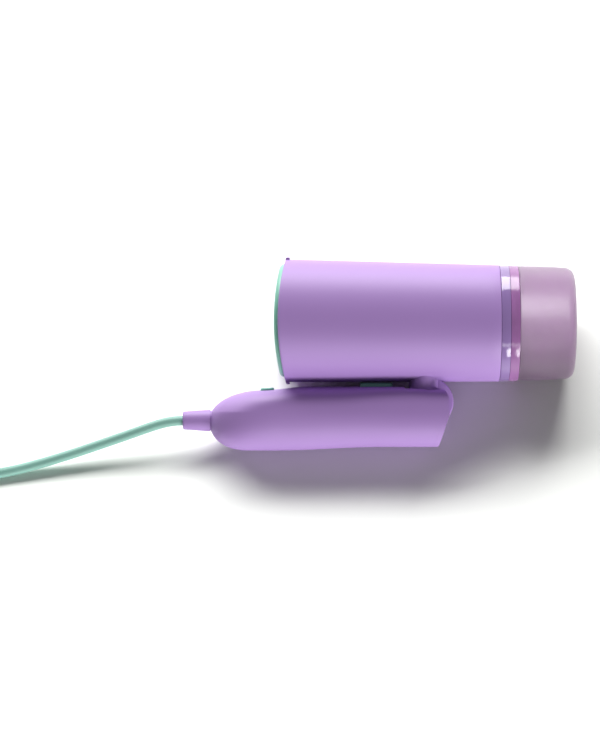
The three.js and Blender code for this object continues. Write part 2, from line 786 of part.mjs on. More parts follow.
function coilTie() {
  const from = coilInner - tieSlack;
  const to = coilOuter + gap;
  const middle = (from + to) / 2;
  const height = (coilLow + coilHigh) / 2;
  const band = (extra, width) => solid(new THREE.BoxGeometry(to - from + 2 * extra, width,
    coilHigh - coilLow + 2 * gap + 2 * extra).translate(middle, 0, height)
    .rotateZ(THREE.MathUtils.degToRad(tieAngle)).translate(coilX, coilY, 0));
  return band(tieThickness, tieWidth).subtract(band(0, tieWidth + 2));
}

function plugBody() {
  const neck = cordRadius + 1.6;
  const start = plugStart;
  const face = start + plugReliefLength + plugLength;
  const shape = new THREE.Shape();
  shape.moveTo(-plugWidth / 2, face);
  shape.lineTo(-plugWidth / 2, face - plugLength * 0.55);
  shape.bezierCurveTo(-plugWidth / 2, face - plugLength, -8, face - plugLength,
    -7, face - plugLength - 3);
  shape.lineTo(7, face - plugLength - 3);
  shape.bezierCurveTo(8, face - plugLength, plugWidth / 2, face - plugLength,
    plugWidth / 2, face - plugLength * 0.55);
  shape.lineTo(plugWidth / 2, face);
  shape.closePath();
  const low = plugMiddle - plugThickness / 2;
  const block = new THREE.ExtrudeGeometry(shape, {
    depth: plugThickness, bevelEnabled: false, curveSegments: 6 });
  const sleeve = new THREE.LatheGeometry([
    new THREE.Vector2(0, start), new THREE.Vector2(neck, start),
    new THREE.Vector2(6.5, face - plugLength), new THREE.Vector2(0, face - plugLength)], 16);
  return solid(block.translate(plugX, 0, low))
    .add(solid(sleeve.translate(plugX, 0, plugMiddle)));
}

function plugPin(side) {
  const start = plugStart + plugReliefLength + plugLength + gap;
  return rodY(plugPinRadius, plugPinLength, plugX + side * pinSpacing / 2,
    start + plugPinLength / 2, plugMiddle, 12);
}

// ---- assembly ----

const steamer = new THREE.Group();

const part = new THREE.Group();
part.add(steamer);

function place(name, body, material, group = steamer) {
  const mesh = new THREE.Mesh(geometryOf(body), material);
  mesh.name = name;
  group.add(mesh);
  return mesh;
}

const head = [
  place('head_shell', headShell(), lavender),
  place('front_bezel', frontBezel(), mint),
  place('steam_plate', steamPlate(), castAluminium),
  place('plate_gasket', plateGasket(), silicone),
  place('steam_chamber', steamChamber(), castAluminium),
  place('heating_element', heatingElement(), steel),
  place('thermostat', thermostat(), steel),
  place('thermal_fuse', thermalFuse(), whitePlastic),
  place('heater_bulkhead', heaterBulkhead(), darkPlastic),
  place('pump', pump(), darkPlastic),
  place('pump_mount', pumpMount(), darkPlastic),
  place('inlet_hose', inletHose(), silicone),
  place('outlet_hose', outletHose(), silicone),
  place('tank_socket', tankSocket(), darkPlastic),
  place('socket_seal', socketSeal(), rubber),
  place('trim_band', trimBand(), bandGloss),
  place('hinge_neck', hingeNeck(), lavender),
];
neckScrews().forEach((body, i) => head.push(place(`neck_screw_${i + 1}`, body, steel)));

place('tank_shell', tankShell(), smoke);
place('tank_collar', tankCollar(), collarPink);
place('tank_gasket', tankGasket(), silicone);
place('filler_plug', fillerPlug(), silicone);
place('tank_valve', tankValve(), whitePlastic);
place('suction_tube', suctionTube(), silicone);

const handle = [
  place('handle_left_shell', handleHalf(-1), lavender),
  place('handle_right_shell', handleHalf(1), lavender),
  place('strain_relief', strainRelief(), lavender),
  place('cord_clamp', cordClamp(), darkPlastic),
  place('control_board', controlBoard(), board),
  place('power_switch', powerSwitch(), darkPlastic),
  place('trigger_switch', triggerSwitch(), darkPlastic),
  place('hinge_pin', hingePin(), steel),
  place('hinge_washer_left', hingeWasher(-1), steel),
  place('hinge_washer_right', hingeWasher(1), steel),
];
handleScrews().forEach((body, i) => handle.push(place(`handle_screw_${i + 1}`, body, steel)));

place('steam_trigger', triggerKey(), mint);
place('power_button', powerButton(), mint);

// Lowest point of some meshes when the steamer is rolled by the given angle.
function lowest(meshes, roll) {
  const point = new THREE.Vector3();
  let low = Infinity;
  for (const mesh of meshes) {
    const position = mesh.geometry.attributes.position;
    for (let i = 0; i < position.count; i++) {
      point.fromBufferAttribute(position, i);
      low = Math.min(low, point.y * Math.sin(roll) + point.z * Math.cos(roll));
    }
  }
  return low;
}

let rollLow = 0;
let rollHigh = Math.PI / 4;
for (let i = 0; i < 30; i++) {
  const roll = (rollLow + rollHigh) / 2;
  if (lowest(head, roll) < lowest(handle, roll)) rollLow = roll;
  else rollHigh = roll;
}
steamer.rotation.x = (rollLow + rollHigh) / 2;

part.updateMatrixWorld(true);
const bounds = new THREE.Box3().setFromObject(part, true);
const centre = bounds.getCenter(new THREE.Vector3());
steamer.position.set(-centre.x, -centre.y, -bounds.min.z);

place('cord_tube', cordTube(leadRoute, 30), cordMint, part);
place('cord_coil', coilRing(), cordMint, part);
place('cord_tail', cordTube(tailRoute, 4), cordMint, part);
place('cord_tie', coilTie(), rubber, part);
place('plug_body', plugBody(), cordMint, part);
place('plug_pin_1', plugPin(-1), brass, part);
place('plug_pin_2', plugPin(1), brass, part);

export default part;
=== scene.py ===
# Folding garment steamer, lying folded on its side on a pale surface with its mains cord.
import json
import math
import bmesh
import bpy
from mathutils import Matrix, Vector


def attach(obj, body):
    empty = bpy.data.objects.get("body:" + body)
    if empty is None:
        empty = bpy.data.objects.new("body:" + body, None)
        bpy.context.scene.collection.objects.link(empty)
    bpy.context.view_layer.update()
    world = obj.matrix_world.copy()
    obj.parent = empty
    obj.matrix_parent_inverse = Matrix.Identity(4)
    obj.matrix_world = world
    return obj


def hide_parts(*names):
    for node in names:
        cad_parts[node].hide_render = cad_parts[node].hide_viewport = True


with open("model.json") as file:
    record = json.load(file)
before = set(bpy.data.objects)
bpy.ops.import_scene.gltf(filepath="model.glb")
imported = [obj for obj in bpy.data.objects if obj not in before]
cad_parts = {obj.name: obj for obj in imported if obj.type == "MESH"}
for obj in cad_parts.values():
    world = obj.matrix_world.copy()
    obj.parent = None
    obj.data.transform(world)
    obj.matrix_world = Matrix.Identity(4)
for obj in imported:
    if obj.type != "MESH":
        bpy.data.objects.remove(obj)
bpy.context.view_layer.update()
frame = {"nodes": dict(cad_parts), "record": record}

# ---- sizes, in millimetres in the steamer's own frame ----
# x runs along the head from the rim of its mouth, y from the handle up to the head and z along
# the fold hinge. The whole steamer is rolled about x to rest on its side.

MM = 0.001
PIVOT = Vector((84.6, -47.7, 0))
SHELL_LENGTH = 126.4
MOUTH_RADIUS = 36.8
REAR_RADIUS = 34.9
WALL = 2.2
MOUTH_RISE = 1.1
REAR_RISE = -0.5
FACE_BULGE = 6
FACE_RADIUS = 150
CATCH_HEIGHT = 1.3
CATCH_LENGTH = 2.4
CATCH_WIDTH = 12
BEZEL_RADIUS = 34
BEZEL_PROUD = 2.4
PLATE_RADIUS = 29.2
SEAM = 0.15
BAND_LENGTH = 5.45
COLLAR_LENGTH = 5.55
TANK_LENGTH = 33.6
TANK_END = 171.3
TANK_RADIUS = 34.3
TANK_CORNER = 5.5
TANK_WALL = 1.9
NECK_X = 82
NECK_HALF_LENGTH = 9.5
NECK_HALF_WIDTH = 15.4
KNUCKLE_RADIUS = 14.4
KNUCKLE_HALF_WIDTH = 9
HUB_RADIUS = 9.5
HUB_HALF_WIDTH = 14.2
WASHER_RADIUS = 8
NECK_PIN_HOLE = 3.1
HANDLE_PIN_HOLE = 3.3
SPIGOT_RADIUS = 5
DUCT_RADIUS = 2.6
FILLER_RADIUS = 6
FILLER_OFFSET = 18       # filler hole above the middle of the tank's ring
CORD_HOLE = 6.1
FOLD_ANGLE = 105
NOSE_X = -47.3
NOSE_MIDDLE = -58.8
GRIP_TOP = -38.4
GRIP_BOTTOM = -74.7
HANDLE_HALF_WIDTH = 21
CUT_X = 90
CUT_ANGLE = 17.2
CHEEK_RADIUS = 11.4
CORD_DIAMETER = 5.9
ROUND = 144              # facets round the big turned pieces

joints = {joint["name"]: joint for joint in frame["record"]["behaviour"]["joints"]}
hinge = joints["fold_hinge"]
hinge_axis = Vector(hinge["axis"])
ROLL = math.atan2(hinge_axis.y, -hinge_axis.z)
STEAMER = (Matrix.Translation(Vector(hinge["pos_m"])) @ Matrix.Rotation(ROLL, 4, "X")
           @ Matrix.Scale(MM, 4) @ Matrix.Translation(-PIVOT))
SURFACE = Matrix.Scale(MM, 4)    # for pieces given in the frame of the surface


# ---- camera, lights and floor ----

VIEW_CENTRE = Vector((7.2, -31.5, 0))
VIEW_DISTANCE = 2160
VIEW_HEIGHT = 450
SENSOR = 36


def make_camera():
    data = bpy.data.cameras.new("camera")
    data.sensor_width = SENSOR
    data.lens = SENSOR * VIEW_DISTANCE / VIEW_HEIGHT
    data.clip_end = 20
    camera = bpy.data.objects.new("camera", data)
    bpy.context.collection.objects.link(camera)
    place = STEAMER @ (VIEW_CENTRE + Vector((0, 0, VIEW_DISTANCE)))
    camera.matrix_world = Matrix.Translation(place) @ Matrix.Rotation(ROLL, 4, "X")
    bpy.context.scene.camera = camera


def area_light(name, azimuth, elevation, distance, width, height, power):
    """A soft box that looks at the middle of the object. Azimuth 0 is towards +X."""
    a, e = math.radians(azimuth), math.radians(elevation)
    back = Vector((math.cos(a) * math.cos(e), math.sin(a) * math.cos(e), math.sin(e)))
    data = bpy.data.lights.new(name, "AREA")
    data.shape = "RECTANGLE"
    data.size = width
    data.size_y = height
    data.energy = power
    light = bpy.data.objects.new(name, data)
    bpy.context.collection.objects.link(light)
    light.location = back * distance
    light.rotation_mode = "QUATERNION"
    light.rotation_quaternion = back.to_track_quat("Z", "Y")
    return light


def only_on(light, pieces, lit):
    """Keeps a light to some pieces, or off them: the set is lit apart from the object."""
    receivers = bpy.data.collections.new(f"{light.name}_receivers")
    for piece in pieces:
        receivers.objects.link(piece)
    light.light_linking.receiver_collection = receivers
    if not lit:
        for member in receivers.collection_objects:
            member.light_linking.link_state = "EXCLUDE"


def make_lights(floor, tank):
    only_on(area_light("key_light", 99, 20, 2.2, 2.0, 1.4, 78), [floor, tank], False)
    only_on(area_light("floor_light", 106, 43, 2.2, 2.8, 0.8, 116), [floor], True)
    only_on(area_light("low_fill", -60, 13, 2.2, 1.8, 0.7, 44), [floor, tank], False)
    # The tank has its own light, for the glow that its wall carries round from above.
    only_on(area_light("tank_light", 90, 72, 2.2, 1.8, 1.6, 76), [tank], True)
    area_light("side_strip", -91, 30, 2.2, 1.6, 0.26, 4)
    world = bpy.data.worlds.new("studio")
    world.use_nodes = True
    background = world.node_tree.nodes["Background"]
    background.inputs["Color"].default_value = (1, 1, 1, 1)
    background.inputs["Strength"].default_value = 0.14
    bpy.context.scene.world = world
    bpy.context.scene.view_settings.view_transform = "Standard"


# ---- materials ----

def linear(code):
    """An sRGB hex colour as linear red, green, blue and alpha."""
    values = [int(code[i:i + 2], 16) / 255 for i in (1, 3, 5)]
    return tuple(v / 12.92 if v <= 0.04045 else ((v + 0.055) / 1.055) ** 2.4
                 for v in values) + (1,)


def add_node(tree, kind, settings=None, inputs=None):
    """A shader node with its own settings; an input is a value or another node's output."""
    node = tree.nodes.new(kind)
    for name, value in (settings or {}).items():
        setattr(node, name, value)
    for name, value in (inputs or {}).items():
        socket = node.inputs[name]
        if isinstance(value, bpy.types.NodeSocket):
            tree.links.new(value, socket)
        else:
            socket.default_value = value
    return node


def new_material(name):
    """An empty node material, its tree and its output node."""
    material = bpy.data.materials.new(name)
    material.use_nodes = True
    tree = material.node_tree
    tree.nodes.clear()
    return material, tree, tree.nodes.new("ShaderNodeOutputMaterial")


def moulded(name, light, dark, roughness, grain_mm, depth_mm, **shader):
    """Injection-moulded plastic: a spark-eroded grain, a slow drift of tone from flow in the
    mould, and a polish that varies a little from place to place."""
    material, tree, output = new_material(name)
    place = add_node(tree, "ShaderNodeTexCoord").outputs["Object"]
    drift = add_node(tree, "ShaderNodeTexNoise", {}, {
        "Vector": place, "Scale": 1 / (45 * MM), "Detail": 2.0})
    tone = add_node(tree, "ShaderNodeMix", {"data_type": "RGBA"}, {
        0: drift.outputs["Fac"], 6: linear(dark), 7: linear(light)})
    grain = add_node(tree, "ShaderNodeTexNoise", {}, {
        "Vector": place, "Scale": 1 / (grain_mm * MM), "Detail": 3.0, "Roughness": 0.6})
    polish = add_node(tree, "ShaderNodeMapRange", {}, {
        "Value": grain.outputs["Fac"], "From Min": 0.3, "From Max": 0.7,
        "To Min": roughness - 0.04, "To Max": roughness + 0.04})
    bump = add_node(tree, "ShaderNodeBump", {}, {
        "Height": grain.outputs["Fac"], "Strength": 0.35, "Distance": depth_mm * MM})
    surface = add_node(tree, "ShaderNodeBsdfPrincipled", {}, {
        "Base Color": tone.outputs[2], "Roughness": polish.outputs["Result"],
        "Normal": bump.outputs["Normal"], **shader})
    tree.links.new(surface.outputs["BSDF"], output.inputs["Surface"])
    return material


def metal(name, colour, roughness, grain_mm, stretch=(1, 1, 1)):
    """Bare or plated metal: a fine grain in its polish, drawn out along `stretch`."""
    material, tree, output = new_material(name)
    place = add_node(tree, "ShaderNodeTexCoord").outputs["Object"]
    drawn = add_node(tree, "ShaderNodeMapping", {}, {"Vector": place, "Scale": stretch})
    grain = add_node(tree, "ShaderNodeTexNoise", {}, {
        "Vector": drawn.outputs["Vector"], "Scale": 1 / (grain_mm * MM), "Detail": 4.0})
    polish = add_node(tree, "ShaderNodeMapRange", {}, {
        "Value": grain.outputs["Fac"], "From Min": 0.3, "From Max": 0.7,
        "To Min": roughness - 0.06, "To Max": roughness + 0.08})
    bump = add_node(tree, "ShaderNodeBump", {}, {
        "Height": grain.outputs["Fac"], "Strength": 0.3, "Distance": 0.02 * MM})
    surface = add_node(tree, "ShaderNodeBsdfPrincipled", {}, {
        "Base Color": linear(colour), "Metallic": 1.0, "Roughness": polish.outputs["Result"],
        "Normal": bump.outputs["Normal"]})
    tree.links.new(surface.outputs["BSDF"], output.inputs["Surface"])
    return material


# ABS with a satin spark-eroded finish: broad soft highlights, no clear reflections.
satin_lavender = moulded("satin_lavender_abs", "#AE89CC", "#AA86C8", 0.5, 0.7, 0.03)
# The same plastic in mint, for the bezel and the keys.
satin_mint = moulded("satin_mint_abs", "#84C4B0", "#7EBDA9", 0.36, 0.7, 0.02)
# ABS from a polished tool, lacquered: clear bright reflections over the same lavender.
gloss_lavender = moulded("gloss_lavender_abs", "#9679B4", "#9276B0", 0.14, 2.5, 0.003,
                         **{"Coat Weight": 0.5, "Coat Roughness": 0.08})
# Tinted polycarbonate, slightly cloudy, that carries colour from behind it.
tinted_collar = moulded("tinted_polycarbonate_pink", "#C487CB", "#BE81C5", 0.16, 3.0, 0.004,
                        **{"Transmission Weight": 0.4, "IOR": 1.58})
# The same in smoke grey, thicker and cloudier, so that light spreads inside it.
smoky_tank = moulded("tinted_polycarbonate_smoke", "#BD9FC0", "#B89ABB", 0.36, 3.0, 0.01,
                     **{"Transmission Weight": 0.3, "IOR": 1.45, "Subsurface Weight": 1.0,
                        "Subsurface Radius": (1.0, 0.85, 1.0), "Subsurface Scale": 9 * MM})
# Glass-filled nylon: dull black with a coarse grain.
black_nylon = moulded("glass_filled_nylon", "#37343F", "#2D2A34", 0.55, 1.2, 0.08)
# Acetal: waxy white.
white_acetal = moulded("moulded_acetal", "#E9E6E0", "#DFDCD5", 0.42, 1.0, 0.02)
# Silicone rubber: milky, soft and dull.
milky_silicone = moulded("silicone_rubber", "#DCDAD3", "#D0CDC5", 0.5, 1.5, 0.03,
                         **{"Subsurface Weight": 0.15, "Subsurface Scale": 2 * MM})
black_rubber = moulded("black_rubber", "#2C2C2F", "#232326", 0.62, 1.1, 0.05)
# Extruded PVC: the jacket is soft and slightly dull, with a faint orange peel.
pvc_mint = moulded("pvc_cord_jacket", "#8CBFB2", "#86B8AB", 0.46, 2.2, 0.06)
# Solder mask over glass-epoxy board.
solder_mask = moulded("solder_mask_board", "#2F6E48", "#27603D", 0.35, 0.8, 0.02)
cast_aluminium = metal("cast_aluminium", "#A9ACB1", 0.42, 0.9)
zinc_steel = metal("zinc_plated_steel", "#B9BCC1", 0.28, 0.5, (1, 6, 1))
plated_brass = metal("nickel_plated_brass", "#C9C5BC", 0.2, 0.4, (1, 1, 6))


def floor_material():
    """Matt white card, tinted very slightly green to offset the light the object throws."""
    material, tree, output = new_material("white_card")
    place = add_node(tree, "ShaderNodeTexCoord").outputs["Object"]
    fibre = add_node(tree, "ShaderNodeTexNoise", {}, {
        "Vector": place, "Scale": 1 / (6 * MM), "Detail": 3.0})
    tone = add_node(tree, "ShaderNodeMix", {"data_type": "RGBA"}, {
        0: fibre.outputs["Fac"], 6: linear("#F6F8F4"), 7: linear("#F7F9F5")})
    surface = add_node(tree, "ShaderNodeBsdfPrincipled", {}, {
        "Base Color": tone.outputs[2], "Roughness": 0.85, "Specular IOR Level": 0.2})
    tree.links.new(surface.outputs["BSDF"], output.inputs["Surface"])
    return material


def make_floor():
    bm = bmesh.new()
    bmesh.ops.create_grid(bm, x_segments=1, y_segments=1, size=4)
    mesh = bpy.data.meshes.new("floor")
    bm.to_mesh(mesh)
    bm.free()
    mesh.materials.append(floor_material())
    floor = bpy.data.objects.new("floor", mesh)
    bpy.context.collection.objects.link(floor)
    return floor


# ---- shaping ----

def ease(x, start, end):
    t = min(max((x - start) / (end - start), 0), 1)
    return t * t * (3 - 2 * t)


def rise(x):
    """Height of the head's axis at x."""
    return MOUTH_RISE + (REAR_RISE - MOUTH_RISE) * min(max(x / SHELL_LENGTH, 0), 1)


def shell_radius(x):
    return MOUTH_RADIUS + (REAR_RADIUS - MOUTH_RADIUS) * x / SHELL_LENGTH


def bow(y):
    """How far the head's front edge stands ahead of its rim, at height y from the axis."""
    return FACE_RADIUS - FACE_BULGE - math.sqrt(FACE_RADIUS ** 2 - y * y)


def arc(x, radius, size, start, end, steps=5):
    """Points of a rounded corner in a profile, about (x, radius), from start to end degrees."""
    turns = [math.radians(start + (end - start) * i / steps) for i in range(steps + 1)]
    return [(x + size * math.cos(t), radius + size * math.sin(t)) for t in turns]


def spun(profile, steps=ROUND, closed=False):
    """(x, radius) pairs turned about the x axis."""
    bm = bmesh.new()
    verts = [bm.verts.new((x, radius, 0)) for x, radius in profile]
    edges = [bm.edges.new(pair) for pair in zip(verts, verts[1:])]
    if closed:
        edges.append(bm.edges.new((verts[-1], verts[0])))
    bmesh.ops.spin(bm, geom=verts + edges, cent=(0, 0, 0), axis=(1, 0, 0), dvec=(0, 0, 0),
                   angle=math.tau, steps=steps, use_merge=True)
    bmesh.ops.remove_doubles(bm, verts=bm.verts, dist=1e-4)
    bmesh.ops.dissolve_degenerate(bm, edges=bm.edges, dist=1e-4)
    bmesh.ops.recalc_face_normals(bm, faces=bm.faces)
    return bm


def on_head(bm, bowed_until=None):
    """Puts a spun piece on the head's axis, with its front end following the bowed face."""
    for vert in bm.verts:
        x, y = vert.co.x, vert.co.y
        if bowed_until:
            vert.co.x += bow(y) * (1 - ease(x, 0.2 * bowed_until, bowed_until))
        vert.co.y += rise(x)


def to_mesh(name, bm):
    mesh = bpy.data.meshes.new(name)
    bm.to_mesh(mesh)
    bm.free()
    return mesh


def boolean(bm, cutter, operation="DIFFERENCE"):
    """bm cut, joined or kept by another closed mesh."""
    target = bpy.data.objects.new("target", to_mesh("target", bm))
    tool = bpy.data.objects.new("tool", to_mesh("tool", cutter))
    for each in (target, tool):
        bpy.context.collection.objects.link(each)
    modifier = target.modifiers.new("cut", "BOOLEAN")
    modifier.operation = operation
    modifier.solver = "EXACT"
    modifier.object = tool
    graph = bpy.context.evaluated_depsgraph_get()
    result = bmesh.new()
    result.from_mesh(target.evaluated_get(graph).to_mesh())
    for each in (target, tool):
        mesh = each.data
        bpy.data.objects.remove(each)
        bpy.data.meshes.remove(mesh)
    return result


def block(low, high):
    bm = bmesh.new()
    bmesh.ops.create_cube(bm, size=1)
    low, high = Vector(low), Vector(high)
    bmesh.ops.scale(bm, vec=high - low, verts=bm.verts)
    bmesh.ops.translate(bm, vec=(low + high) / 2, verts=bm.verts)
    return bm


def rod(axis, radius, start, end, centre, segments=32):
    """A cylinder along x, y or z between two places on that axis."""
    bm = bmesh.new()
    bmesh.ops.create_cone(bm, cap_ends=True, segments=segments, radius1=radius, radius2=radius,
                          depth=end - start)
    turn = {"x": Matrix.Rotation(math.pi / 2, 4, "Y"), "z": Matrix.Identity(4),
            "y": Matrix.Rotation(math.pi / 2, 4, "X")}[axis]
    bmesh.ops.transform(bm, matrix=turn, verts=bm.verts)
    place = Vector(centre)
    place["xyz".index(axis)] = (start + end) / 2
    bmesh.ops.translate(bm, vec=place, verts=bm.verts)
    return bm


def extruded(outline, half):
    """A closed outline in x and y, extruded to both sides of z = 0."""
    bm = bmesh.new()
    verts = [bm.verts.new((x, y, -half)) for x, y in outline]
    face = bm.faces.new(verts)
    top = bmesh.ops.extrude_face_region(bm, geom=[face])
    moved = [g for g in top["geom"] if isinstance(g, bmesh.types.BMVert)]
    bmesh.ops.translate(bm, vec=(0, 0, 2 * half), verts=moved)
    bmesh.ops.recalc_face_normals(bm, faces=bm.faces)
    return bm


def finish_piece(name, bm, material, body, nodes=(), sharp=38, matrix=STEAMER):
    """A finished piece at its place, riding on its body and standing for CAD nodes."""
    bmesh.ops.transform(bm, matrix=matrix, verts=bm.verts)
    mesh = to_mesh(name, bm)
    mesh.materials.append(material)
    mesh.shade_smooth()
    mesh.set_sharp_from_angle(angle=math.radians(sharp))
    piece = bpy.data.objects.new(name, mesh)
    bpy.context.collection.objects.link(piece)
    if nodes:
        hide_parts(*nodes)
    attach(piece, body)
    return piece


# ---- head ----

def make_head_shell():
    inner = MOUTH_RADIUS - WALL
    rear = REAR_RADIUS
    profile = [(SHELL_LENGTH, rear - WALL), (60, shell_radius(60) - WALL), (8, inner), (2, inner)]
    profile += arc(0.5, inner + 0.5, 0.5, 270, 180)
    profile += arc(0.7, MOUTH_RADIUS - 0.7, 0.7, 180, 92)
    profile += [(x, shell_radius(x)) for x in (1.6, 3.5, 6, 10, 15, 20, 26, 34, 60, 95, 120)]
    profile += arc(SHELL_LENGTH - 0.3, rear - 0.3, 0.3, 90, 0, 3)
    bm = spun(profile, closed=True)
    catches = spun(arc(0.6, MOUTH_RADIUS + CATCH_HEIGHT - 0.6, 0.6, 180, 90)
                   + arc(CATCH_LENGTH - 0.6, MOUTH_RADIUS + CATCH_HEIGHT - 0.6, 0.6, 90, 0)
                   + [(CATCH_LENGTH, MOUTH_RADIUS - 1.2), (0, MOUTH_RADIUS - 1.2)], closed=True)
    slab = block((-2, -60, -CATCH_WIDTH / 2), (6, 60, CATCH_WIDTH / 2))
    bm = boolean(bm, boolean(catches, slab, "INTERSECT"), "UNION")
    on_head(bm, bowed_until=34)
    finish_piece("head_casing", bm, satin_lavender, "head", ["head_shell"])


def make_bezel():
    inner = PLATE_RADIUS + 0.2
    profile = [(x, BEZEL_RADIUS) for x in (16, 11, 7, 4)]
    profile += arc(2.6, BEZEL_RADIUS - 2.6, 2.6, 90, 180, 9)
    profile += arc(0.8, inner + 0.8, 0.8, 180, 270, 4)
    profile += [(x, inner) for x in (2, 4, 7, 11, 16)]
    bm = spun(profile, closed=True)
    bmesh.ops.translate(bm, vec=(-BEZEL_PROUD, 0, 0), verts=bm.verts)
    on_head(bm, bowed_until=13)
    finish_piece("front_ring", bm, satin_mint, "head", ["front_bezel"])


VENTS = 12
VENT_RING = 19           # radius of the circle the vents stand on
VENT_RADIUS = 1.7


def make_steam_plate():
    """A bowed plate with a ring of vents: a filled outline with holes, cut into strips so that
    it can bow, and thickened."""
    bm = bmesh.new()
    circles = [(0, 0, PLATE_RADIUS, 96)]
    turns = [math.tau * i / VENTS for i in range(VENTS)]
    circles += [(VENT_RING * math.cos(t), VENT_RING * math.sin(t), VENT_RADIUS, 20)
                for t in turns]
    for y, z, radius, segments in circles:
        made = bmesh.ops.create_circle(bm, segments=segments, radius=radius)
        turn = Matrix.Translation((0, y, z)) @ Matrix.Rotation(math.pi / 2, 4, "Y")
        bmesh.ops.transform(bm, matrix=turn, verts=made["verts"])
    bmesh.ops.triangle_fill(bm, use_beauty=True, use_dissolve=False, edges=bm.edges,
                            normal=(-1, 0, 0))
    height = -PLATE_RADIUS + 3
    while height < PLATE_RADIUS:
        bmesh.ops.bisect_plane(bm, geom=bm.verts[:] + bm.edges[:] + bm.faces[:],
                               plane_co=(0, height, 0), plane_no=(0, 1, 0))
        height += 3
    thick = bmesh.ops.extrude_face_region(bm, geom=bm.faces[:])
    moved = [g for g in thick["geom"] if isinstance(g, bmesh.types.BMVert)]
    bmesh.ops.translate(bm, vec=(3, 0, 0), verts=moved)
    for vert in bm.verts:
        edge = max(math.hypot(vert.co.y, vert.co.z) - (PLATE_RADIUS - 0.5), 0)
        vert.co.x += bow(vert.co.y) - BEZEL_PROUD + 0.6 + edge * 0.8
        vert.co.y += rise(0)
    bmesh.ops.recalc_face_normals(bm, faces=bm.faces)
    finish_piece("vented_plate", bm, cast_aluminium, "head", ["steam_plate"])


def make_trim_band():
    start = SHELL_LENGTH + SEAM
    end = start + BAND_LENGTH
    radius = REAR_RADIUS
    profile = arc(start + 0.25, radius - 0.25, 0.25, 180, 90, 3)
    profile += arc(end - 0.12, radius - 0.12, 0.12, 90, 0, 3)
    profile += [(end, radius - 4), (start, radius - 4)]
    bm = spun(profile, closed=True)
    on_head(bm)
    finish_piece("gloss_band", bm, gloss_lavender, "head", ["trim_band"])


def make_neck():
    """Oval neck and the knuckle that the handle's cheeks straddle."""
    column = bmesh.new()
    bmesh.ops.create_circle(column, cap_ends=True, segments=72, radius=1)
    bmesh.ops.transform(column, verts=column.verts, matrix=Matrix.Translation((NECK_X, -50, 0))
                        @ Matrix.Rotation(math.pi / 2, 4, "X")
                        @ Matrix.Diagonal((NECK_HALF_LENGTH, NECK_HALF_WIDTH, 1, 1)))
    side = bmesh.ops.extrude_face_region(column, geom=column.faces[:])
    top = [g for g in side["geom"] if isinstance(g, bmesh.types.BMVert)]
    bmesh.ops.translate(column, vec=(0, 30, 0), verts=top)
    bmesh.ops.recalc_face_normals(column, faces=column.faces)
    tail = block((PIVOT.x - 6, -50, -9), (91.8, -20, 9))
    neck = boolean(column, tail, "UNION")
    profile = [(-HUB_HALF_WIDTH, 0), (-HUB_HALF_WIDTH, HUB_RADIUS),
               (-KNUCKLE_HALF_WIDTH, HUB_RADIUS)]
    profile += arc(-KNUCKLE_HALF_WIDTH + 1, KNUCKLE_RADIUS - 1, 1, 180, 90, 4)
    profile += arc(KNUCKLE_HALF_WIDTH - 1, KNUCKLE_RADIUS - 1, 1, 90, 0, 4)
    profile += [(KNUCKLE_HALF_WIDTH, HUB_RADIUS), (HUB_HALF_WIDTH, HUB_RADIUS),
                (HUB_HALF_WIDTH, 0)]
    barrel = spun(profile, 96)
    bmesh.ops.transform(barrel, verts=barrel.verts, matrix=Matrix.Translation(PIVOT)
                        @ Matrix.Rotation(math.pi / 2, 4, "Y"))
    neck = boolean(neck, barrel, "UNION")
    for side in (-1, 1):
        washer = rod("z", WASHER_RADIUS, side * HUB_HALF_WIDTH, side * 17, PIVOT, 48)
        bmesh.ops.recalc_face_normals(washer, faces=washer.faces)
        neck = boolean(neck, washer)
    neck = boolean(neck, rod("z", NECK_PIN_HOLE, -20, 20, PIVOT, 48))
    envelope = spun([(40, 0), (40, shell_radius(40)), (120, shell_radius(120)), (120, 0)])
    on_head(envelope)
    neck = boolean(neck, envelope)
    finish_piece("hinge_post", neck, satin_lavender, "head", ["hinge_neck"])


# ---- tank ----

def make_tank():
    start = TANK_END - TANK_LENGTH
    end_radius = TANK_RADIUS - 1
    inner = TANK_RADIUS - TANK_WALL
    profile = arc(start + 0.4, TANK_RADIUS - 0.4, 0.4, 180, 90, 3)
    profile += [(start + 12, TANK_RADIUS - 0.15), (start + 22, TANK_RADIUS - 0.5)]
    profile += arc(TANK_END - TANK_CORNER, end_radius - TANK_CORNER, TANK_CORNER, 86, 2, 12)
    profile += [(TANK_END, end_radius - TANK_CORNER - 1.5), (TANK_END, 12), (TANK_END, 0)]
    far = TANK_END - TANK_WALL
    round_in = TANK_CORNER - 1.2
    profile += [(far, 0), (far, 12)]
    profile += arc(far - round_in, end_radius - TANK_WALL - round_in, round_in, 0, 88, 8)
    profile += [(start, inner)]
    bm = spun(profile, closed=True)
    on_head(bm)
    return finish_piece("water_tank", bm, smoky_tank, "tank", ["tank_shell"])


